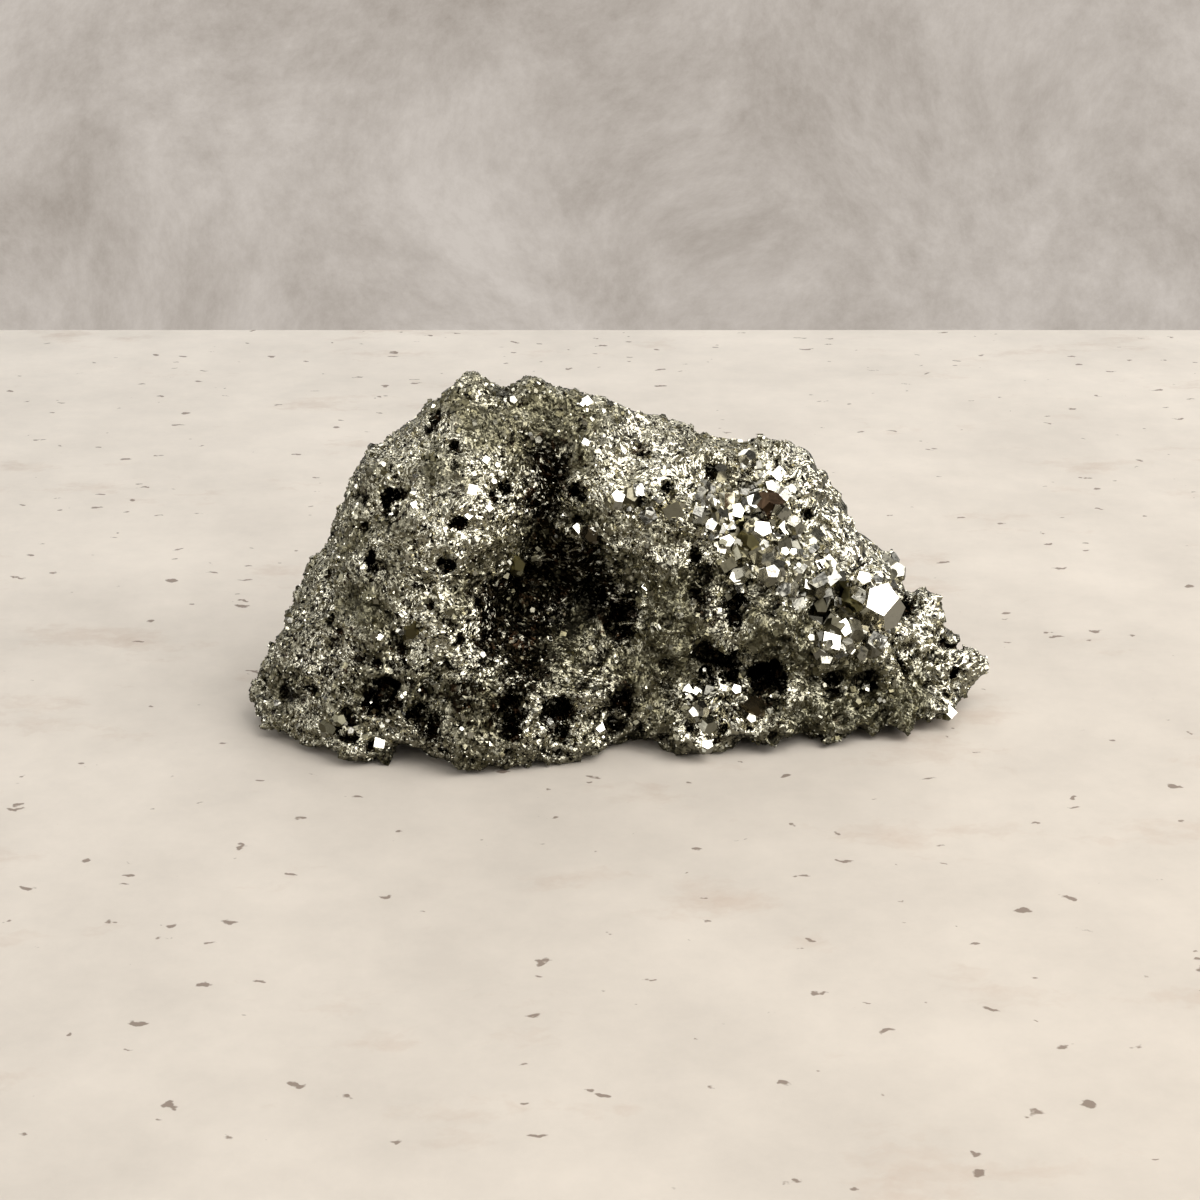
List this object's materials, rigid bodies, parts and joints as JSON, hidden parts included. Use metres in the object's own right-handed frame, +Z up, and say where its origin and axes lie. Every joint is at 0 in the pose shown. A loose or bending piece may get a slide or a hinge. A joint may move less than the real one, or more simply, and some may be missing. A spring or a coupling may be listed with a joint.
{
  "type": "pyrite specimen",
  "caption": "Rough pyrite cluster grown as one mass, with open vugs, a hollow front, fine sparkling grains and coarse cubic crystals, resting on its broken underside.",
  "frame": {"origin": "centre of the footprint, on the plane the specimen rests on", "axes": "+X along the cluster from its high rounded end to its low tip, -Y towards its hollow front, +Z up"},
  "size_m": [0.1824, 0.0904, 0.088],
  "materials": {
    "pyrite": "pale brassy, olive-grey metallic mineral: sugary grains of under a millimetre that glitter, coarse crystals with mirror-flat faces, black in the vugs"
  },
  "bodies": {
    "root": {"pyrite_cluster": "pyrite"}
  },
  "joints": []
}
